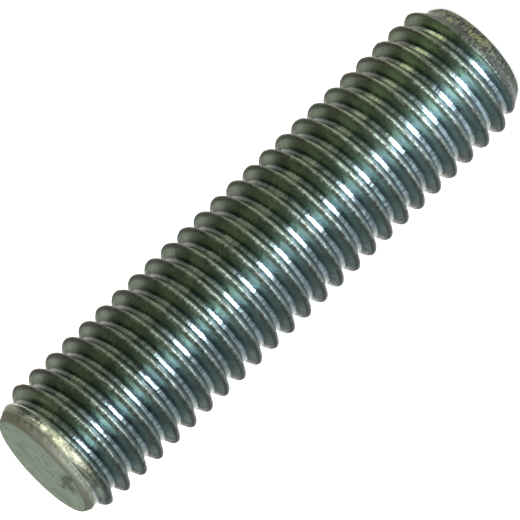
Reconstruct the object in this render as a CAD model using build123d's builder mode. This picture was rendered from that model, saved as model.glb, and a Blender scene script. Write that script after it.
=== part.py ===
from build123d import *
import math
import os

os.makedirs("parts", exist_ok=True)

# Fully threaded stud, M10 x 1.5 right hand, 40 mm: rolled coarse thread over its whole length
# and a chamfer at either end. Frame: the axis is +Z, the lower end face lies on z = 0.
# The round is carried by a many-sided prism whose corners lie on the true circle, and the
# groove turns through the same corners, so every edge between them is straight.

# ---- driving dimensions, millimetres and degrees ----
stud_length = 40.0          # end face to end face
major_diameter = 9.75       # over the crests, as rolled and plated
minor_diameter = 8.06       # at the bottom of the groove
pitch_diameter = 8.93       # where groove and ridge are equally wide
thread_pitch = 1.5          # axial advance of one turn, single start
flank_angle = 30.0          # each flank against a plane square to the axis
thread_start = 138.7        # angle about +Z at which the groove is centred on z = 0
end_diameter = 7.7          # flat end face, a little under the minor diameter
chamfer_angle = 27.0        # end cone against the axis
sides_per_turn = 32         # corners in one turn; a multiple of 4 puts them on X and Y
cutter_clearance = 0.12     # how far the groove cutter stands out past the crests
cutter_turns = 6            # whole turns in one length of the cutter
spare_turns = 1             # thread cut past either end before the stud is cut to length

# ---- dependent sizes ----
crest_radius = major_diameter / 2
root_radius = minor_diameter / 2
pitch_radius = pitch_diameter / 2
end_radius = end_diameter / 2
chamfer_length = (crest_radius - end_radius) / math.tan(math.radians(chamfer_angle))
flank_slope = math.tan(math.radians(flank_angle))
cutter_radius = crest_radius + cutter_clearance
root_half_width = thread_pitch / 4 - (pitch_radius - root_radius) * flank_slope
mouth_half_width = thread_pitch / 4 + (cutter_radius - pitch_radius) * flank_slope
cutter_height = cutter_turns * thread_pitch
cutter_lengths = math.ceil((stud_length / thread_pitch + 2 * spare_turns) / cutter_turns)
groove_rise = -thread_pitch * thread_start / 360       # height of the groove above +X
thread_bottom = groove_rise - spare_turns * thread_pitch
bar_bottom = thread_bottom - 2 * thread_pitch
bar_top = thread_bottom + cutter_lengths * cutter_height + 2 * thread_pitch


def groove_section(station):
    """The groove's section, a truncated vee, in the half plane of one corner of the helix."""
    turn = 2 * math.pi * station / sides_per_turn
    half_plane = Plane(
        origin=(0, 0, thread_pitch * station / sides_per_turn),
        x_dir=(math.cos(turn), math.sin(turn), 0),
        z_dir=(math.sin(turn), -math.cos(turn), 0),
    )
    with BuildSketch(half_plane) as section:
        with BuildLine():
            Polyline(
                (root_radius, -root_half_width),
                (cutter_radius, -mouth_half_width),
                (cutter_radius, mouth_half_width),
                (root_radius, root_half_width),
                close=True,
            )
        make_face()
    return section.sketch


# Outer form: the bar with a chamfer at either end.
with BuildPart() as blank:
    for height, radius in (
        (0, end_radius),
        (chamfer_length, crest_radius),
        (stud_length - chamfer_length, crest_radius),
        (stud_length, end_radius),
    ):
        with BuildSketch(Plane.XY.offset(height)):
            RegularPolygon(radius=radius, side_count=sides_per_turn)
    loft(ruled=True)

# Groove of the thread over a few whole turns, carried from corner to corner up a right hand
# helix. Adjoining turns stay clear of each other at the mouth.
with BuildPart() as groove:
    loft(
        sections=[groove_section(n) for n in range(cutter_turns * sides_per_turn + 1)],
        ruled=True,
    )

# The stud: an over-long bar takes the groove, length after length on the same helix, and is
# then cut to the outer form. Crests are what is left of the bar, and the thread runs out
# through both chamfers.
with BuildPart() as stud:
    with BuildSketch(Plane.XY.offset(bar_bottom)):
        RegularPolygon(radius=crest_radius, side_count=sides_per_turn)
    extrude(amount=bar_top - bar_bottom)
    for turn_group in range(cutter_lengths):
        with Locations((0, 0, thread_bottom + turn_group * cutter_height)):
            add(groove.part, mode=Mode.SUBTRACT)
    add(blank.part, mode=Mode.INTERSECT)

stud.part.label = "stud"
export_step(stud.part, "parts/stud.step")
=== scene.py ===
import math
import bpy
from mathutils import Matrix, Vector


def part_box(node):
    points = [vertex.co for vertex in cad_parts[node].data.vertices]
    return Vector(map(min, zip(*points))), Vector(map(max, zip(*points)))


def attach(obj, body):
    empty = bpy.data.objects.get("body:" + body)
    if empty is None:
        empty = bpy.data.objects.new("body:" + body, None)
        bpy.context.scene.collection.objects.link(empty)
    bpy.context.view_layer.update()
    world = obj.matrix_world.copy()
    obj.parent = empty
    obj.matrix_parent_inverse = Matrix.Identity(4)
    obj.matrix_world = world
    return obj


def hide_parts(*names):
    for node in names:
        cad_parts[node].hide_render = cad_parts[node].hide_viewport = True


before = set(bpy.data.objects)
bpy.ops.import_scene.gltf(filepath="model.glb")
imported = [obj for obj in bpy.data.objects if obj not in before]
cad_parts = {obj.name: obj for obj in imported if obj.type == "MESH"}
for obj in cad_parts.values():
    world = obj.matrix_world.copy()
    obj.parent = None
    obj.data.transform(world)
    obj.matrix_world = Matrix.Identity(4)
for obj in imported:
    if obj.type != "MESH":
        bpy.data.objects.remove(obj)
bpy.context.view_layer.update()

from types import SimpleNamespace

import bmesh
import bpy
from bpy.props import FloatProperty, FloatVectorProperty, IntProperty, PointerProperty
from mathutils import Matrix, Vector, noise

# Threaded stud, coarse metric thread over its whole length, zinc plated. It stands on its lower
# end, axis along +Z, on a pale studio floor. Lengths are in metres.

bl_info = {
    "name": "Threaded stud",
    "version": (1, 0, 0),
    "blender": (4, 5, 0),
    "location": "3D View > Sidebar > Threaded stud",
    "description": "A zinc plated threaded stud, with its finish and a small studio",
    "category": "Object",
}

LOW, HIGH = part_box("stud")
LENGTH = HIGH[2] - LOW[2]
CREST_DIAMETER = HIGH[0] - LOW[0]

# ---- making the thread ----
# It is made longer than the stud and cut to length.
TURNS_BELOW = 2.5  # pitches that it starts below the lower end
TURNS_MORE = 4  # turns that it has more than the stud is long
CORNER_SEGMENTS = 4  # edges in each rounded corner of the profile
FLANK_CUTS = 3  # rows of points along each flank
END_STEPS = 5  # insets that round the edge of an end face
END_SIDES = 40  # an end face has more sides than this, and no other face has
END_EDGE = 0.00006  # edges round an end face that are shorter than this are merged
CLOSE = 1e-6  # what lies nearer than this is at the same place
CUT_WIDTH = 1e-7  # points this near to a cut are on it
SMOOTH_ANGLE = math.radians(40)  # edges sharper than this stay hard
BROAD_HOLLOWS = 1300  # noise scale of the broad hollows
FINE_HOLLOWS = 4200  # noise scale of the fine ones, which have half the depth
FINE_SQUEEZE = 3  # how much shorter the fine ones are along the stud

# ---- where the finish changes ----
# Distances from the nearer end face: where a mark begins, and where it is full. A mark with an
# outer and an inner pair lies between the two.
FACE = (0.00016, 0.00003)
TIP = (0.0004, 0.0002)
CHAMFER = (0.0013, 0.0006)
ROUGHENED = (0.0007, 0.0005)
# Where the band of dirt and painted shade on the upper chamfer lies.
RIM_OUTER = (0.000002, 0.00002)
RIM_INNER = (0.0006, 0.00045)
# Where the painted shade of the groove's run-out lies.
GRIME_OUTER = (0.00002, 0.0001)
GRIME_INNER = (0.0007, 0.00055)
RUBBED_OUTER = (0.0006, 0.0008)
RUBBED_INNER = (0.0013, 0.0011)
# Depths below the local top of the thread, and below the end cone.
CREST_DEPTH = (0.00033, 0.0001)
GRIME_DEPTH = (0.00003, 0.0001)
# Shares of the thread's height, counted up from the root.
ROOT_HEIGHT = (0.30, 0.05)
# Shares of the length between which the lower half's finish gives way to the upper half's.
HALVES = (0.4, 0.6)
# A painted olive reflection, drawn as an olive coating, lies along a line at this angle, from the
# -Y side towards +X.
FILM_ANGLE = math.radians(35)
FILM_STRENGTH = 0.35
# The smear of dirt on the upper end face: its middle, how much it is squeezed to make it
# round, its ragged edge and the distances over which it fades in.
SMEAR_MIDDLE = (-0.0019, -0.0018, 0.04)
SMEAR_SQUEEZE = (1.0, 0.3, 1.0)
SMEAR_RAGGED = 0.0004
SMEAR_FADE = (0.0005, 0.0002)
SPECK_COLOUR = (0.05, 0.055, 0.05, 1.0)
BLACK = (0, 0, 0, 1)  # what the crests darken towards in their painted shade
BUMP_DEPTH = 0.00005  # of the deepest streaks

# ---- studio ----
PANEL_DISTANCE = 0.8
GLINT_HEIGHT = 0.008  # the part of the stud that the glint lamp faces
STRIP_HEIGHT = 0.0003  # of the lamps that lie on the floor
FAR_SPOT_SHARE = 0.35  # power of the far right spot against the right one
FLOOR_GRAIN = 40.0  # noise scale of the faint unevenness of the floor
FLOOR_DARKEST = 0.97  # share of the floor's colour that it goes down to
SENSOR_WIDTH = 36.0  # millimetres
COOL = (0.93, 0.99, 1.0)
WARM = (1.0, 0.93, 0.70)


# ---- values a user would change ----

class StudSizes(bpy.types.PropertyGroup):
    length: FloatProperty(
        name="Length", description="End face to end face", default=LENGTH,
        unit="LENGTH", subtype="DISTANCE", precision=5)
    crest_diameter: FloatProperty(
        name="Crest diameter", description="Over the crests, plating included",
        default=CREST_DIAMETER, unit="LENGTH", subtype="DISTANCE", precision=5)
    root_diameter: FloatProperty(
        name="Root diameter", description="At the bottom of the groove", default=0.00818,
        unit="LENGTH", subtype="DISTANCE", precision=5)
    pitch_diameter: FloatProperty(
        name="Pitch diameter", description="Where groove and ridge are equally wide",
        default=0.0088, unit="LENGTH", subtype="DISTANCE", precision=5)
    pitch: FloatProperty(
        name="Pitch", description="Rise of one turn", default=0.0015,
        unit="LENGTH", subtype="DISTANCE", precision=5)
    flank_angle: FloatProperty(
        name="Flank angle", description="Each flank against a plane square to the axis",
        default=math.radians(30), subtype="ANGLE")
    thread_start: FloatProperty(
        name="Thread start", description="Angle at which the groove is centred on the lower end",
        default=math.radians(138.7), subtype="ANGLE")
    crest_round: FloatProperty(
        name="Crest rounding", description="How far the rounding runs from each crest corner",
        default=0.000098, unit="LENGTH", subtype="DISTANCE", precision=5)
    root_round: FloatProperty(
        name="Root rounding", description="How far the rounding runs from each root corner",
        default=0.00009, unit="LENGTH", subtype="DISTANCE", precision=5)
    end_diameter: FloatProperty(
        name="Upper end diameter", description="Where chamfer and upper end face would meet",
        default=0.00786, unit="LENGTH", subtype="DISTANCE", precision=5)
    chamfer_angle: FloatProperty(
        name="Upper chamfer angle", description="Upper end cone against the axis",
        default=math.radians(27), subtype="ANGLE")
    low_end_diameter: FloatProperty(
        name="Lower end diameter", description="Where chamfer and lower end face would meet",
        default=0.0074, unit="LENGTH", subtype="DISTANCE", precision=5)
    low_chamfer_angle: FloatProperty(
        name="Lower chamfer angle", description="Lower end cone against the axis",
        default=math.radians(34), subtype="ANGLE")
    chamfer_blend: FloatProperty(
        name="Chamfer blend", description="How softly the crests die out into the chamfer",
        default=0.00006, unit="LENGTH", subtype="DISTANCE", precision=5)
    end_round: FloatProperty(
        name="End rounding", description="Height of the rounding between chamfer and end face",
        default=0.00015, unit="LENGTH", subtype="DISTANCE", precision=5)
    unevenness: FloatProperty(
        name="Unevenness", description="Depth of the hollows left by rolling and knocks",
        default=0.00002, unit="LENGTH", subtype="DISTANCE", precision=6)
    roll_in: FloatProperty(
        name="Roll in", description="How far end crests shrink whole instead of being cut flat",
        default=0.45, min=0, max=1, subtype="FACTOR")
    steps_per_turn: IntProperty(
        name="Steps per turn", description="Facets round the stud", default=96, min=32, max=160)


class StudFinish(bpy.types.PropertyGroup):
    flank_colour: FloatVectorProperty(
        name="Flanks", description="Dull green-grey plating on the flanks", subtype="COLOR",
        size=3, default=(0.135, 0.165, 0.145), min=0, max=1)
    crest_colour: FloatVectorProperty(
        name="Crests", description="Worn, dull crests", subtype="COLOR",
        size=3, default=(0.070, 0.082, 0.072), min=0, max=1)
    root_colour: FloatVectorProperty(
        name="Roots", description="Brighter plating at the bottom of the groove",
        subtype="COLOR", size=3, default=(0.125, 0.155, 0.165), min=0, max=1)
    chamfer_colour: FloatVectorProperty(
        name="Chamfers", description="Grey plating on the end chamfers", subtype="COLOR",
        size=3, default=(0.30, 0.33, 0.29), min=0, max=1)
    # Brown-grey of the dirt on the end faces, also used for painted shade on the upper chamfer.
    grime_colour: FloatVectorProperty(
        name="Grime", description="Brown-grey dirt where the groove runs out at the ends",
        subtype="COLOR", size=3, default=(0.115, 0.12, 0.095), min=0, max=1)
    stain_colour: FloatVectorProperty(
        name="Stains", description="Olive spots on the lower chamfer", subtype="COLOR",
        size=3, default=(0.25, 0.25, 0.12), min=0, max=1)
    # A painted olive reflection along one line, drawn as an olive coating.
    film_colour: FloatVectorProperty(
        name="Film", description="Dull olive film along one line", subtype="COLOR",
        size=3, default=(0.10, 0.12, 0.075), min=0, max=1)
    end_colour: FloatVectorProperty(
        name="End faces", description="Matt grey-green plating on the sheared ends",
        subtype="COLOR", size=3, default=(0.225, 0.29, 0.262), min=0, max=1)
    # Side tints: partly plating tint, partly painted shade on the +X side and painted bluish light
    # on the -X side.
    straw_tint: FloatVectorProperty(
        name="Straw tint", description="Tint of the plating on the +X side", subtype="COLOR",
        size=3, default=(0.86, 0.93, 0.74), min=0, max=2)
    blue_tint: FloatVectorProperty(
        name="Blue tint", description="Tint of the plating on the -X side",
        subtype="COLOR", size=3, default=(0.97, 1.06, 1.17), min=0, max=2)
    roughness: FloatProperty(
        name="Roughness", description="Roughness of the flanks", default=0.21,
        min=0, max=1, subtype="FACTOR")
    root_roughness: FloatProperty(
        name="Root roughness", description="Roughness of the roots", default=0.17,
        min=0, max=1, subtype="FACTOR")
    crest_roughness: FloatProperty(
        name="Crest roughness", description="Roughness of the worn crests", default=0.37,
        min=0, max=1, subtype="FACTOR")
    metallic: FloatProperty(
        name="Metallic", description="How metallic flanks and roots are", default=0.88,
        min=0, max=1, subtype="FACTOR")
    crest_metallic: FloatProperty(
        name="Crest metallic", description="How metallic the worn crests are", default=0.5,
        min=0, max=1, subtype="FACTOR")


class StudioValues(bpy.types.PropertyGroup):
    floor_size: FloatProperty(
        name="Floor size", description="Side of the square floor", default=8.0,
        unit="LENGTH", subtype="DISTANCE")
    floor_colour: FloatVectorProperty(
        name="Floor", description="Plain pale floor", subtype="COLOR", size=3,
        default=(0.86, 0.86, 0.86), min=0, max=1)
    floor_lift: FloatProperty(
        name="Floor lift", description="What brings the floor up to white behind the object",
        default=0.75, min=0, max=1)
    surround_colour: FloatVectorProperty(
        name="Surround", description="Dim studio round the table", subtype="COLOR", size=3,
        default=(0.035, 0.045, 0.038), min=0, max=1)
    key_power: FloatProperty(
        name="Key lamp", description="Power of the small low lamp close in front",
        default=0.013, precision=4, unit="POWER")
    glint_power: FloatProperty(
        name="Glint lamp", description="Power of the low lamp that lights reflections alone",
        default=0.085, precision=4, unit="POWER")
    top_power: FloatProperty(
        name="Overhead lamp", description="Power of the soft lamp overhead", default=0.45,
        unit="POWER")
    front_power: FloatProperty(
        name="Front panel", description="Power of the wide panel above the camera", default=1.3,
        unit="POWER")
    side_power: FloatProperty(
        name="Side panel", description="Power of the wide panel behind on the left", default=1.5,
        unit="POWER")
    low_power: FloatProperty(
        name="Low panel", description="Power of the small panel low on the right", default=0.11,
        unit="POWER")
    rim_power: FloatProperty(
        name="Rim panel", description="Power of the panel behind on the right", default=0.6,
        unit="POWER")
    left_power: FloatProperty(
        name="Left spot", description="Power of the small warm lamp high on the left",
        default=1.6, unit="POWER")
    right_power: FloatProperty(
        name="Right spot", description="Power of the small warm lamp high on the right",
        default=1.0, unit="POWER")
    front_strip_power: FloatProperty(
        name="Front strip", description="Power of the strip on the floor in front",
        default=0.021, precision=4, unit="POWER")
    long_strip_power: FloatProperty(
        name="Long strip", description="Power of the strip that carries on the front strip",
        default=0.13, precision=4, unit="POWER")
    left_strip_power: FloatProperty(
        name="Left strip", description="Power of the wide strip on the floor on the left",
        default=0.003, precision=4, unit="POWER")
    right_strip_power: FloatProperty(
        name="Right strip", description="Power of the strip on the floor on the right",
        default=0.005, precision=4, unit="POWER")
    rear_power: FloatProperty(
        name="Rear overhead lamp", description="Power of the warm lamp above and behind",
        default=2.4, unit="POWER")
    back_power: FloatProperty(
        name="Back panel", description="Power of the panel behind, seen in the top face",
        default=0.7, unit="POWER")
    camera_distance: FloatProperty(
        name="Camera distance", description="Camera to the middle of the stud",
        default=0.505, unit="LENGTH", subtype="DISTANCE")
    camera_elevation: FloatProperty(
        name="Camera elevation", description="Camera above the horizon",
        default=math.radians(15.3), subtype="ANGLE")
    camera_roll: FloatProperty(
        name="Camera roll", description="Turn of the picture about the line of sight",
        default=math.radians(133.65), subtype="ANGLE")
    camera_lens: FloatProperty(
        name="Lens", description="Focal length on a 36 mm sensor", default=545.2,
        unit="CAMERA")
    aim_up: FloatProperty(
        name="Aim up", description="How far above the middle of the stud the camera aims",
        default=0.0002177, unit="LENGTH", subtype="DISTANCE", precision=6)
    aim_left: FloatProperty(
        name="Aim left", description="How far to the -X side of the axis the camera aims",
        default=0.000064, unit="LENGTH", subtype="DISTANCE", precision=6)


# ---- small helpers ----

def deselect_all():
    if bpy.context.object and bpy.context.object.mode != "OBJECT":
        bpy.ops.object.mode_set(mode="OBJECT")
    bpy.ops.object.select_all(action="DESELECT")


def only(piece):
    deselect_all()
    piece.select_set(True)
    bpy.context.view_layer.objects.active = piece


def edit(kind="VERT"):
    bpy.ops.object.mode_set(mode="EDIT")
    bpy.ops.mesh.select_mode(type=kind)


def leave_edit():
    bpy.ops.object.mode_set(mode="OBJECT")


def apply_place(piece):
    only(piece)
    bpy.ops.object.transform_apply(location=True, rotation=True, scale=True)


def select_where(mesh, test, kind="VERT"):
    """Selects the points or faces of the mesh in edit mode that pass a test, and counts them."""
    shape = bmesh.from_edit_mesh(mesh)
    for kinds in (shape.verts, shape.edges, shape.faces):
        for item in kinds:
            item.select = False
    items = shape.verts if kind == "VERT" else shape.faces
    chosen = [item for item in items if test(item)]
    for item in chosen:
        item.select = True
    shape.select_flush_mode()
    bmesh.update_edit_mesh(mesh)
    return len(chosen)


# ---- shader nodes ----

def rgb(colour, share=1.0):
    """A colour for a socket, made darker or lighter by a share."""
    return (colour[0] * share, colour[1] * share, colour[2] * share, 1.0)


class Nodes:
    """Short calls for adding and joining nodes in one tree."""

    def __init__(self, tree):
        self.tree = tree
        tree.nodes.clear()

    def add(self, kind, sockets=None, **settings):
        node = self.tree.nodes.new(kind)
        for name, value in settings.items():
            setattr(node, name, value)
        for name, value in (sockets or {}).items():
            self.put(node.inputs[name], value)
        return node

    def put(self, socket, value):
        if isinstance(value, bpy.types.NodeSocket):
            self.tree.links.new(value, socket)
        else:
            socket.default_value = value

    def math(self, operation, first, second=0.0, clamp=False):
        node = self.add("ShaderNodeMath", {0: first, 1: second}, operation=operation)
        node.use_clamp = clamp
        return node.outputs[0]

    def range(self, value, low, high, to_low=0.0, to_high=1.0, smooth=False):
        node = self.add(
            "ShaderNodeMapRange",
            {"Value": value, "From Min": low, "From Max": high,
             "To Min": to_low, "To Max": to_high},
            interpolation_type="SMOOTHSTEP" if smooth else "LINEAR")
        node.clamp = True
        return node.outputs["Result"]

    def mix(self, share, first, second, blend="MIX"):
        node = self.add("ShaderNodeMix", data_type="RGBA", blend_type=blend)
        node.clamp_factor = True
        self.put(node.inputs[0], share)
        self.put(node.inputs[6], first)
        self.put(node.inputs[7], second)
        return node.outputs[2]

    def blend(self, mask, first, second):
        """One number where the mask is 0, another where it is 1."""
        return self.add("ShaderNodeMix", {
            "Factor": mask, "A": first, "B": second}).outputs[0]

    def times(self, first, *others):
        for other in others:
            first = self.math("MULTIPLY", first, other)
        return first

    def uneven(self, mask, colour, low, high):
        """A colour that varies between two shares of itself."""
        return self.mix(mask, rgb(colour, low), rgb(colour, high))

    def vector(self, operation, first, second=(0, 0, 0), output="Vector"):
        return self.add("ShaderNodeVectorMath", {0: first, 1: second},
                        operation=operation).outputs[output]

    def mapping(self, vector, scale):
        return self.add("ShaderNodeMapping", {"Vector": vector, "Scale": scale}).outputs[0]

    def noise(self, vector, scale, detail=2.0, rough=0.5):
        return self.add("ShaderNodeTexNoise", {
            "Vector": vector, "Scale": scale, "Detail": detail,
            "Roughness": rough}).outputs["Fac"]

    def surface(self, shader, kind="ShaderNodeOutputMaterial"):
        self.add(kind, {"Surface": shader})


def new_group(name, inputs, outputs):
    """An empty node group with named sockets, its Nodes helper and its two end nodes."""
    tree = bpy.data.node_groups.new(name, "ShaderNodeTree")
    for label, kind, default in inputs:
        socket = tree.interface.new_socket(label, in_out="INPUT", socket_type=kind)
        if default is not None:
            socket.default_value = default
    for label, kind in outputs:
        tree.interface.new_socket(label, in_out="OUTPUT", socket_type=kind)
    nodes = Nodes(tree)
    return nodes, nodes.add("NodeGroupInput"), nodes.add("NodeGroupOutput")


def thread_depth_group():
    """Height between root (0) and crest (1), distance from the axis and from the nearer end."""
    nodes, start, end = new_group(
        "Thread depth",
        [("Vector", "NodeSocketVector", None), ("Root radius", "NodeSocketFloat", 0.004),
         ("Crest radius", "NodeSocketFloat", 0.005), ("Length", "NodeSocketFloat", 0.04)],
        [("Height", "NodeSocketFloat"), ("Radius", "NodeSocketFloat"), ("End", "NodeSocketFloat")])
    flat = nodes.vector("MULTIPLY", start.outputs["Vector"], (1, 1, 0))
    radius = nodes.vector("LENGTH", flat, output="Value")
    height = nodes.range(radius, start.outputs["Root radius"], start.outputs["Crest radius"])
    along = nodes.add("ShaderNodeSeparateXYZ", {0: start.outputs["Vector"]}).outputs["Z"]
    half = nodes.math("MULTIPLY", start.outputs["Length"], 0.5)
    off = nodes.math("ABSOLUTE", nodes.math("SUBTRACT", along, half))
    nodes.put(end.inputs["Height"], height)
    nodes.put(end.inputs["Radius"], radius)
    nodes.put(end.inputs["End"], nodes.math("SUBTRACT", half, off))
    return nodes.tree


def rolled_metal_group():
    """Marks of thread rolling under plating: streaks round the stud, mottling and specks."""
    nodes, start, end = new_group(
        "Rolled metal",
        [("Vector", "NodeSocketVector", None), ("Streak scale", "NodeSocketFloat", 5200.0),
         ("Mottle scale", "NodeSocketFloat", 900.0), ("Speck scale", "NodeSocketFloat", 3000.0)],
        [("Streaks", "NodeSocketFloat"), ("Mottle", "NodeSocketFloat"),
         ("Specks", "NodeSocketFloat")])
    vector = start.outputs["Vector"]
    long_way = nodes.mapping(vector, (1.0, 1.0, 0.35))
    streaks = nodes.noise(long_way, start.outputs["Streak scale"], 5.0, 0.65)
    mottle = nodes.noise(vector, start.outputs["Mottle scale"], 4.0, 0.6)
    grains = nodes.noise(vector, start.outputs["Speck scale"])
    nodes.put(end.inputs["Streaks"], streaks)
    nodes.put(end.inputs["Mottle"], mottle)
    nodes.put(end.inputs["Specks"], nodes.range(grains, 0.62, 0.72, smooth=True))
    return nodes.tree


def find_zones(nodes, sizes):
    """Masks for the parts of the stud that differ in finish, all fixed to the stud itself; some of
    them paint shade and a reflection into the colour.
    """
    place = nodes.add("ShaderNodeTexCoord").outputs["Object"]
    depth = nodes.add("ShaderNodeGroup", node_tree=thread_depth_group())
    for name, value in (("Vector", place), ("Root radius", sizes.root_diameter / 2),
                        ("Crest radius", sizes.crest_diameter / 2), ("Length", sizes.length)):
        nodes.put(depth.inputs[name], value)
    marks = nodes.add("ShaderNodeGroup", node_tree=rolled_metal_group())
    nodes.put(marks.inputs["Vector"], place)
    apart = nodes.add("ShaderNodeSeparateXYZ", {0: place})
    zones = SimpleNamespace(
        place=place, across=apart.outputs["X"], height=depth.outputs["Height"],
        radius=depth.outputs["Radius"], from_end=depth.outputs["End"],
        streaks=marks.outputs["Streaks"], mottle=marks.outputs["Mottle"],
        specks=marks.outputs["Specks"])
    zones.upper = nodes.range(apart.outputs["Z"], *(sizes.length * share for share in HALVES))
    zones.patches = nodes.range(zones.mottle, 0.34, 0.66)
    zones.spots = nodes.range(zones.streaks, 0.44, 0.58, smooth=True)
    add_thread_zones(nodes, zones, sizes)
    add_side_zones(nodes, zones)
    add_dirt_zones(nodes, zones)
    return zones


def add_thread_zones(nodes, zones, sizes):
    """Crests and roots, end faces and chamfers."""
    zones.high_cone, low_cone = (
        nodes.math("ADD", diameter / 2, nodes.times(zones.from_end, math.tan(angle)))
        for diameter, angle in ((sizes.end_diameter, sizes.chamfer_angle),
                                (sizes.low_end_diameter, sizes.low_chamfer_angle)))
    # The end cones bring down the top of the thread.
    top = nodes.math("MINIMUM", nodes.blend(zones.upper, low_cone, zones.high_cone),
                     sizes.crest_diameter / 2)
    below = nodes.math("SUBTRACT", top, zones.radius)
    zones.crest = nodes.range(below, *CREST_DEPTH, smooth=True)
    zones.root = nodes.range(zones.height, *ROOT_HEIGHT, smooth=True)
    zones.face = nodes.range(zones.from_end, *FACE, smooth=True)
    zones.tip = nodes.range(zones.from_end, *TIP, smooth=True)
    zones.chamfer = nodes.range(zones.from_end, *CHAMFER, smooth=True)
    zones.roughened = nodes.range(zones.from_end, *ROUGHENED, 0.0, 0.3)


def add_side_zones(nodes, zones):
    """Side masks: a straw tinted side, with painted shade in the groove and on the crests, a blue
    tinted side, with painted shade on the crests, and a line of painted olive reflection.
    """
    ragged = nodes.math("ADD", nodes.math("DIVIDE", zones.across, zones.radius),
                        nodes.range(zones.mottle, 0.0, 1.0, -0.5, 0.5))
    # The side tint's mask: partly plating tint, partly painted shade and bluish light by side.
    zones.straw_side = nodes.range(ragged, -0.35, 0.4, smooth=True)
    # Painted shade on the +X side, in the groove and on the crests.
    zones.dull = nodes.range(ragged, 0.0, 0.5, smooth=True)
    # Painted shade on the crests, on the +X side and far out on the -X side.
    zones.wear = nodes.math("ADD", nodes.times(zones.dull, 0.7),
                            nodes.range(ragged, -0.15, -0.6, 0.0, 0.6))
    # A painted olive reflection, drawn as an olive coating, lies along one line.
    way = (math.sin(FILM_ANGLE), -math.cos(FILM_ANGLE), 0)
    beside = nodes.math("DIVIDE", nodes.vector("DOT_PRODUCT", zones.place, way, "Value"),
                        zones.radius)
    beside = nodes.math("ADD", beside, nodes.range(zones.mottle, 0.3, 0.7, -0.022, 0.016))
    zones.film = nodes.times(nodes.range(beside, 0.974, 0.999, smooth=True), FILM_STRENGTH)


def add_dirt_zones(nodes, zones):
    """Dirt, stains and rubbing at the ends."""
    # A brown-grey band lies on the upper chamfer: partly dirt, partly painted shade that dims a
    # glint on its rounded edge.
    zones.rim = nodes.times(
        nodes.range(zones.from_end, *RIM_OUTER), nodes.range(zones.from_end, *RIM_INNER),
        zones.upper, nodes.range(zones.mottle, 0.4, 0.6, 0.6, 0.9))
    # Painted shade, brown-grey and thicker, lies where the groove runs out through the upper
    # chamfer.
    sunk = nodes.math("SUBTRACT", zones.high_cone, zones.radius)
    zones.grime = nodes.times(
        nodes.range(sunk, *GRIME_DEPTH, smooth=True),
        nodes.range(zones.from_end, *GRIME_INNER, smooth=True),
        nodes.range(zones.from_end, *GRIME_OUTER), zones.upper)
    # Handling has rubbed the first crest bright.
    zones.rubbed = nodes.times(
        nodes.range(zones.from_end, *RUBBED_OUTER), nodes.range(zones.from_end, *RUBBED_INNER),
        zones.crest, zones.upper)
    # Olive spots lie on the straw side of the lower chamfer.
    zones.olive = nodes.times(
        nodes.range(zones.mottle, 0.46, 0.58, smooth=True),
        nodes.range(zones.streaks, 0.46, 0.56, smooth=True),
        zones.chamfer, zones.straw_side, nodes.math("SUBTRACT", 1.0, zones.upper))
    # Dirt spots lie on the end faces, and a smear on the upper one.
    spots = nodes.math("MAXIMUM", nodes.range(zones.mottle, 0.57, 0.63, smooth=True),
                       nodes.range(zones.streaks, 0.57, 0.66, 0.0, 0.7))
    zones.dirt = nodes.times(spots, zones.face, 0.6)
    aside = nodes.mapping(nodes.vector("SUBTRACT", zones.place, SMEAR_MIDDLE), SMEAR_SQUEEZE)
    aside = nodes.math("ADD", nodes.vector("LENGTH", aside, output="Value"), nodes.range(
        zones.mottle, 0.35, 0.65, -SMEAR_RAGGED, SMEAR_RAGGED))
    zones.smear = nodes.times(nodes.range(aside, *SMEAR_FADE, smooth=True), zones.face, 0.8)


def thread_colour(nodes, zones, finish):
    """Flanks, crests and roots, tinted by side, with painted shade on the crests and on the +X
    side's roots, and the painted olive reflection over them.
    """
    flank = nodes.uneven(zones.patches, finish.flank_colour, 0.75, 1.2)
    crests = nodes.uneven(zones.spots, finish.crest_colour, 0.35, 1.9)
    # The crests darken towards black in their painted shade.
    crests = nodes.mix(zones.wear, crests, BLACK)
    # Roots on the +X side are darker: painted shade.
    bottom = nodes.mix(zones.dull, nodes.uneven(zones.spots, finish.root_colour, 0.42, 1.15),
                       nodes.uneven(zones.spots, finish.root_colour, 0.2, 0.42))
    colour = nodes.mix(zones.root, nodes.mix(zones.crest, flank, crests), bottom)
    # Side tint: partly plating tint, partly painted shade on the +X side and painted bluish light
    # on the -X side.
    tint = nodes.mix(zones.straw_side, rgb(finish.blue_tint), rgb(finish.straw_tint))
    colour = nodes.mix(1.0, colour, tint, blend="MULTIPLY")
    # The painted olive reflection lies over the thread's colour.
    return nodes.mix(zones.film, colour, nodes.uneven(
        zones.spots, finish.film_colour, 0.8, 1.3))


def end_colour(nodes, zones, finish, colour):
    """The chamfers and end faces, then their dirt, painted shade, rubbing and stains, over another
    colour.
    """
    # The lower chamfer is coloured darker than the upper one: painted shade.
    chamfers = nodes.mix(
        zones.upper, nodes.uneven(zones.spots, finish.chamfer_colour, 0.12, 0.46),
        nodes.uneven(zones.patches, finish.chamfer_colour, 0.35, 0.6))
    for mask, layer in (
            (zones.chamfer, chamfers),
            (zones.face, nodes.uneven(zones.patches, finish.end_colour, 0.72, 1.22)),
            (zones.rim, nodes.uneven(zones.patches, finish.grime_colour, 0.65, 1.2)),
            (zones.grime, nodes.uneven(zones.spots, finish.grime_colour, 0.7, 1.25)),
            (zones.rubbed, nodes.uneven(zones.patches, finish.chamfer_colour, 0.3, 1.7)),
            (zones.olive, rgb(finish.stain_colour)),
            (zones.smear, rgb(finish.grime_colour, 0.4)),
            (zones.dirt, rgb(finish.grime_colour)),
            (nodes.times(zones.specks, 0.55), SPECK_COLOUR)):
        colour = nodes.mix(mask, colour, layer)
    return colour


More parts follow.
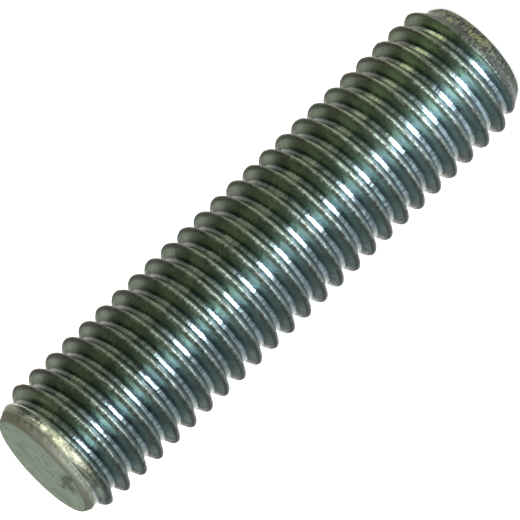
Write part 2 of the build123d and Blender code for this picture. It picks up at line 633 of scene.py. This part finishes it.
def gloss(nodes, zones, finish):
    """Roughness and metallic, zone over zone."""
    # The painted shade where the groove runs out is also made matt and barely metallic.
    rough = nodes.range(zones.streaks, 0.3, 0.7, finish.roughness - 0.04,
                        finish.roughness + 0.06)
    rough = nodes.blend(zones.root, rough, finish.root_roughness)
    rough = nodes.blend(zones.crest, rough, finish.crest_roughness)
    rough = nodes.math("ADD", rough, zones.roughened)
    # Where the olive reflection is painted, the surface is made rougher, and below less metallic.
    for mask, value in ((zones.film, 0.5), (zones.grime, 0.75), (zones.tip, 0.65),
                        (zones.rubbed, 0.2)):
        rough = nodes.blend(mask, rough, value)
    metal = nodes.blend(zones.crest, finish.metallic, finish.crest_metallic)
    for mask, value in ((zones.film, 0.4), (zones.chamfer, 0.65), (zones.tip, 0.35),
                        (zones.grime, 0.2), (zones.rubbed, 0.9)):
        metal = nodes.blend(mask, metal, value)
    return rough, metal


def relief(nodes, zones):
    """Bump of the rolling streaks: deep on the crests, shallow on the end faces."""
    depth = nodes.blend(zones.crest, 0.6, 1.8)
    for mask, value in ((zones.root, 0.55), (zones.face, 0.3), (zones.rubbed, 0.7)):
        depth = nodes.blend(mask, depth, value)
    return nodes.add("ShaderNodeBump", {
        "Height": nodes.times(zones.streaks, depth), "Strength": 0.9,
        "Distance": BUMP_DEPTH}).outputs["Normal"]


def zinc_material(sizes, finish):
    """Dull green-grey zinc plate over rolled steel, worn, stained and dirty, with painted shade
    and a painted olive reflection in its colour.
    """
    material = bpy.data.materials.new("Zinc plated steel")
    material.use_nodes = True
    nodes = Nodes(material.node_tree)
    zones = find_zones(nodes, sizes)
    colour = end_colour(nodes, zones, finish, thread_colour(nodes, zones, finish))
    rough, metal = gloss(nodes, zones, finish)
    shader = nodes.add("ShaderNodeBsdfPrincipled", {
        "Base Color": colour, "Roughness": rough, "Metallic": metal,
        "Normal": relief(nodes, zones)})
    nodes.surface(shader.outputs[0])
    return material


# ---- the stud ----

def thread_profile(sizes):
    """One pitch of the thread, crest to crest, as a line of edges above the +X axis."""
    crest = sizes.crest_diameter / 2
    root = sizes.root_diameter / 2
    middle = sizes.pitch_diameter / 2
    slope = math.tan(sizes.flank_angle)
    crest_half = sizes.pitch / 4 - (crest - middle) * slope
    root_half = sizes.pitch / 4 - (middle - root) * slope
    flank = (crest - root) * slope
    groove = -sizes.pitch * sizes.thread_start / (2 * math.pi)
    foot = groove - TURNS_BELOW * sizes.pitch
    # A small plane, merged to its middle, is the first point of the line.
    deselect_all()
    bpy.ops.mesh.primitive_plane_add(size=0.001, location=(crest, 0, foot))
    piece = bpy.context.object
    edit()
    bpy.ops.mesh.select_all(action="SELECT")
    bpy.ops.mesh.merge(type="CENTER")
    for out, up in ((0, crest_half), (root - crest, flank), (0, 2 * root_half),
                    (crest - root, flank), (0, crest_half)):
        bpy.ops.mesh.extrude_region_move(TRANSFORM_OT_translate={"value": (out, 0, up)})
    leave_edit()
    apply_place(piece)
    # Corners of crest and root are rounded, then the flanks get rows of their own.
    edit()
    for radius, reach in ((crest, sizes.crest_round), (root, sizes.root_round)):
        select_where(piece.data, lambda vert: abs(vert.co.x - radius) < CLOSE
                     and len(vert.link_edges) == 2)
        bpy.ops.mesh.bevel(offset=reach, segments=CORNER_SEGMENTS, affect="VERTICES")
    shape = bmesh.from_edit_mesh(piece.data)
    for edge in shape.edges:
        edge.select = edge.calc_length() > flank / 2
    bmesh.update_edit_mesh(piece.data)
    bpy.ops.mesh.subdivide(number_cuts=FLANK_CUTS)
    leave_edit()
    return piece


def turn_thread(piece, sizes):
    """Turns the profile up the helix, and joins each turn to the next."""
    only(piece)
    bpy.ops.object.modifier_add(type="SCREW")
    screw = piece.modifiers[-1]
    screw.axis = "Z"
    screw.angle = 2 * math.pi
    screw.screw_offset = sizes.pitch
    screw.iterations = math.ceil(sizes.length / sizes.pitch) + TURNS_MORE
    screw.steps = screw.render_steps = sizes.steps_per_turn
    bpy.ops.object.modifier_apply(modifier=screw.name)
    if not piece.data.polygons:
        raise RuntimeError("The thread wasn't made.")
    edit()
    bpy.ops.mesh.select_all(action="SELECT")
    bpy.ops.mesh.remove_doubles(threshold=CLOSE)
    leave_edit()


def end_cones(sizes):
    """Radius at the end and angle of the upper (1) and the lower (-1) end cone."""
    return {1: (sizes.end_diameter / 2, sizes.chamfer_angle),
            -1: (sizes.low_end_diameter / 2, sizes.low_chamfer_angle)}


def limited(radius, limit, blend):
    """The smaller of two radii, with a rounded corner between them."""
    spread = max(blend - abs(radius - limit), 0.0) / blend
    return min(radius, limit) - spread * spread * blend / 4


def shape_thread(piece, sizes):
    """Brings every point inside the end cones, where crests die out, and adds the hollows."""
    cones = end_cones(sizes)
    root = sizes.root_diameter / 2
    crest = sizes.crest_diameter / 2
    for vert in piece.data.vertices:
        x, y, z = vert.co
        radius = math.hypot(x, y)
        from_end = min(z, sizes.length - z)
        end_radius, angle = cones[1 if z > sizes.length / 2 else -1]
        cone = end_radius + max(from_end, -sizes.end_round) * math.tan(angle)
        cut = limited(radius, cone, 4 * sizes.chamfer_blend)
        share = min(max((cone - root) / (crest - root), 0.0), 1.0)
        shrunk = min(root + (radius - root) * share, cone)
        target = cut + (shrunk - cut) * sizes.roll_in
        hollows = noise.noise(Vector((x, y, z)) * BROAD_HOLLOWS) + 0.5 * noise.noise(
            Vector((x, y, z * FINE_SQUEEZE)) * FINE_HOLLOWS)
        target -= sizes.unevenness * (1.0 + hollows)
        vert.co.x, vert.co.y = x * target / radius, y * target / radius


def cut_ends(piece, sizes):
    """Cuts the thread square at both ends, and rounds each end over to its flat face."""
    edit("FACE")
    ends = ((sizes.end_round, -1), (sizes.length - sizes.end_round, 1))
    for height, sign in ends:
        bpy.ops.mesh.select_all(action="SELECT")
        bpy.ops.mesh.bisect(
            plane_co=(0, 0, height), plane_no=(0, 0, sign), use_fill=True,
            clear_outer=True, threshold=CUT_WIDTH)
    bpy.ops.mesh.select_all(action="SELECT")
    bpy.ops.mesh.normals_make_consistent(inside=False)
    for height, sign in ends:
        # Short edges round the cut are merged, so that the insets stay even.
        angle = end_cones(sizes)[sign][1]
        arc = sizes.end_round / (1 - math.sin(angle))
        select_where(piece.data, lambda face: len(face.verts) > END_SIDES
                     and abs(face.calc_center_median().z - height) < CLOSE, "FACE")
        bpy.ops.mesh.remove_doubles(threshold=END_EDGE)
        for step in range(END_STEPS):
            found = select_where(piece.data, lambda face: face.normal.z * sign > 0.999
                                 and len(face.verts) > END_SIDES, "FACE")
            if found != 1:
                raise RuntimeError("The end face wasn't found.")
            a, b = (angle + (math.pi / 2 - angle) * k / END_STEPS for k in (step, step + 1))
            bpy.ops.mesh.inset(
                thickness=arc * (math.cos(a) - math.cos(b)),
                depth=arc * (math.sin(b) - math.sin(a)),
                use_even_offset=False)
    leave_edit()


class STUD_OT_body(bpy.types.Operator):
    """Makes the stud: one pitch of thread, turned up the helix, chamfered and cut to length"""
    bl_idname = "stud.body"
    bl_label = "Make the stud"
    bl_options = {"REGISTER", "UNDO"}

    def execute(self, context):
        sizes = context.scene.stud_sizes
        piece = thread_profile(sizes)
        piece.name = "stud_body"
        piece.data.name = "stud_body"
        turn_thread(piece, sizes)
        shape_thread(piece, sizes)
        cut_ends(piece, sizes)
        only(piece)
        bpy.ops.object.shade_smooth_by_angle(angle=SMOOTH_ANGLE)
        piece.data.materials.clear()
        piece.data.materials.append(zinc_material(sizes, context.scene.stud_finish))
        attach(piece, "root")
        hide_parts("stud")
        return {"FINISHED"}


# ---- floor, lamps and camera ----

def floor_material(colour, lift):
    """Pale matt floor, white behind the object, which keeps the shadow."""
    material = bpy.data.materials.new("Pale floor")
    material.use_nodes = True
    nodes = Nodes(material.node_tree)
    place = nodes.add("ShaderNodeTexCoord").outputs["Object"]
    tone = nodes.uneven(nodes.noise(place, FLOOR_GRAIN, 3.0), colour, FLOOR_DARKEST, 1.0)
    matt = nodes.add("ShaderNodeBsdfPrincipled", {
        "Base Color": tone, "Roughness": 0.9, "Specular IOR Level": 0.1})
    path = nodes.add("ShaderNodeLightPath")
    seen = nodes.math("ADD", path.outputs["Is Camera Ray"], path.outputs["Is Glossy Ray"])
    seen = nodes.math("ADD", seen, path.outputs["Is Transmission Ray"], clamp=True)
    white = nodes.add("ShaderNodeEmission", {
        "Color": (1, 1, 1, 1), "Strength": nodes.times(seen, lift)})
    both = nodes.add("ShaderNodeAddShader", {0: matt.outputs[0], 1: white.outputs[0]})
    nodes.surface(both.outputs[0])
    return material


def make_floor(studio):
    deselect_all()
    bpy.ops.mesh.primitive_grid_add(
        x_subdivisions=8, y_subdivisions=8, size=studio.floor_size, location=(0, 0, LOW[2]))
    floor = bpy.context.object
    floor.name = "floor"
    apply_place(floor)
    floor.data.materials.append(floor_material(studio.floor_colour, studio.floor_lift))


def direction(azimuth, elevation=0):
    """A unit vector, from degrees; azimuth 0 is the -Y side, 90 the +X side."""
    turn, rise = math.radians(azimuth), math.radians(elevation)
    return Vector((math.sin(turn) * math.cos(rise), -math.cos(turn) * math.cos(rise),
                   math.sin(rise)))


def area_lamp(name, width, height, power, colour):
    data = bpy.data.lights.new(name, "AREA")
    data.shape = "RECTANGLE"
    data.size, data.size_y = width, height
    data.energy, data.color = power, colour
    lamp = bpy.data.objects.new(name, data)
    bpy.context.scene.collection.objects.link(lamp)
    return lamp


def panel(name, aim, distance, azimuth, elevation, width, height, power, colour):
    """A lamp that stands off a point and faces it."""
    lamp = area_lamp(name, width, height, power, colour)
    away = distance * direction(azimuth, elevation)
    turned = away.to_track_quat("Z", "Y").to_matrix().to_4x4()
    lamp.matrix_world = Matrix.Translation(aim + away) @ turned
    return lamp


def floor_strip(name, azimuth, near, far, width, power, colour):
    """A narrow lamp on the floor that points up and runs away from the foot of the stud."""
    lamp = area_lamp(name, far - near, width, power, colour)
    way = direction(azimuth)
    down = Vector((0, 0, -1))
    turned = Matrix((way, down.cross(way), down)).transposed().to_4x4()
    lamp.matrix_world = Matrix.Translation(
        way * (near + far) / 2 + Vector((0, 0, STRIP_HEIGHT))) @ turned
    lamp.visible_camera = False


def make_lamps(studio, middle):
    """Near lamps for the glints, and soft panels round the stud for the rest."""
    panel("key lamp", middle, 0.10, -20, -4.5, 0.024, 0.024, studio.key_power, COOL)
    glint = panel("glint lamp", Vector((0, 0, GLINT_HEIGHT)), 0.077, -20, 0, 0.018, 0.015,
                  studio.glint_power, COOL)
    glint.visible_diffuse = glint.visible_camera = False
    # Name, distance, azimuth, elevation, width, height, power, colour.
    far = PANEL_DISTANCE
    for name, *values in (
            ("overhead lamp", far, -10, 74, 0.25, 0.12, studio.top_power, (1.0, 0.90, 0.70)),
            ("front panel", far, 10, 42, 1.2, 0.5, studio.front_power, (1.0, 1.0, 0.90)),
            ("side panel", far, -118, 20, 1.0, 0.6, studio.side_power, (0.82, 0.97, 1.0)),
            ("low panel", 0.3, 66, -2, 0.07, 0.034, studio.low_power, (1.0, 1.0, 0.72)),
            ("rim panel", far, 142, 20, 0.5, 0.4, studio.rim_power, (1.0, 0.96, 0.82)),
            ("left spot", far, -46, 62, 0.20, 0.14, studio.left_power, (1.0, 0.95, 0.82)),
            ("right spot", far, 42, 57, 0.11, 0.11, studio.right_power, WARM),
            ("far right spot", far, 82, 47, 0.09, 0.09,
             studio.right_power * FAR_SPOT_SHARE, WARM)):
        panel(name, middle, *values)
    # Name, azimuth, near and far end, width, power, colour.
    for values in (
            ("front strip", -21, 0.008, 0.037, 0.005, studio.front_strip_power,
             (0.93, 1.0, 1.0)),
            ("long strip", -20, 0.037, 0.077, 0.013, studio.long_strip_power, COOL),
            ("left strip", -71, 0.008, 0.045, 0.020, studio.left_strip_power,
             (0.88, 1.0, 1.0)),
            ("right strip", 67, 0.007, 0.039, 0.006, studio.right_strip_power,
             (1.0, 1.0, 0.68))):
        floor_strip(*values)
    panel("rear overhead lamp", middle, far, 183, 73, 0.9, 0.3, studio.rear_power,
          (1.0, 0.93, 0.74))
    panel("back panel", middle, 0.9, 180, 24, 0.7, 0.4, studio.back_power,
          (0.93, 1.0, 0.95))


def make_surround(scene, colour):
    world = bpy.data.worlds.new("Dim studio")
    world.use_nodes = True
    nodes = Nodes(world.node_tree)
    back = nodes.add("ShaderNodeBackground", {"Color": rgb(colour), "Strength": 1.0})
    nodes.surface(back.outputs[0], "ShaderNodeOutputWorld")
    scene.world = world


def make_camera(scene, studio, middle):
    """Looks down on the stud, rolled so that its axis crosses the picture."""
    data = bpy.data.cameras.new("camera")
    data.sensor_width = SENSOR_WIDTH
    data.lens = studio.camera_lens
    camera = bpy.data.objects.new("camera", data)
    scene.collection.objects.link(camera)
    tilt = studio.camera_elevation
    sight = Vector((0, math.cos(tilt), -math.sin(tilt)))
    down = Vector((0, -math.sin(tilt), -math.cos(tilt)))
    left = Vector((-1, 0, 0))
    turn = studio.camera_roll - math.pi / 2
    right = math.cos(turn) * down + math.sin(turn) * left
    up = math.sin(turn) * down - math.cos(turn) * left
    aim = middle - studio.aim_up * down + studio.aim_left * left
    turned = Matrix((right, up, -sight)).transposed().to_4x4()
    camera.matrix_world = Matrix.Translation(aim - studio.camera_distance * sight) @ turned
    scene.camera = camera


class STUD_OT_stage(bpy.types.Operator):
    """Makes the pale floor, the lamps, the dim surround and the camera"""
    bl_idname = "stud.stage"
    bl_label = "Make the studio"
    bl_options = {"REGISTER", "UNDO"}

    def execute(self, context):
        scene = context.scene
        studio = scene.stud_studio
        middle = Vector((0, 0, scene.stud_sizes.length / 2))
        make_floor(studio)
        make_lamps(studio, middle)
        make_surround(scene, studio.surround_colour)
        make_camera(scene, studio, middle)
        scene.view_settings.view_transform = "Standard"
        return {"FINISHED"}


class STUD_PT_panel(bpy.types.Panel):
    bl_label = "Threaded stud"
    bl_idname = "STUD_PT_panel"
    bl_space_type = "VIEW_3D"
    bl_region_type = "UI"
    bl_category = "Threaded stud"

    def draw(self, context):
        for label, values in (("Stud", context.scene.stud_sizes),
                              ("Finish", context.scene.stud_finish),
                              ("Studio", context.scene.stud_studio)):
            box = self.layout.box()
            box.label(text=label)
            for name in values.__annotations__:
                box.prop(values, name)
        self.layout.operator(STUD_OT_body.bl_idname)
        self.layout.operator(STUD_OT_stage.bl_idname)


CLASSES = (StudSizes, StudFinish, StudioValues, STUD_OT_body, STUD_OT_stage, STUD_PT_panel)


def register():
    for item in CLASSES:
        bpy.utils.register_class(item)
    bpy.types.Scene.stud_sizes = PointerProperty(type=StudSizes)
    bpy.types.Scene.stud_finish = PointerProperty(type=StudFinish)
    bpy.types.Scene.stud_studio = PointerProperty(type=StudioValues)


def unregister():
    for name in ("stud_studio", "stud_finish", "stud_sizes"):
        delattr(bpy.types.Scene, name)
    for item in reversed(CLASSES):
        bpy.utils.unregister_class(item)


def main():
    register()
    bpy.ops.stud.body()
    bpy.ops.stud.stage()
    bpy.context.view_layer.update()


if __name__ == "__main__":
    main()
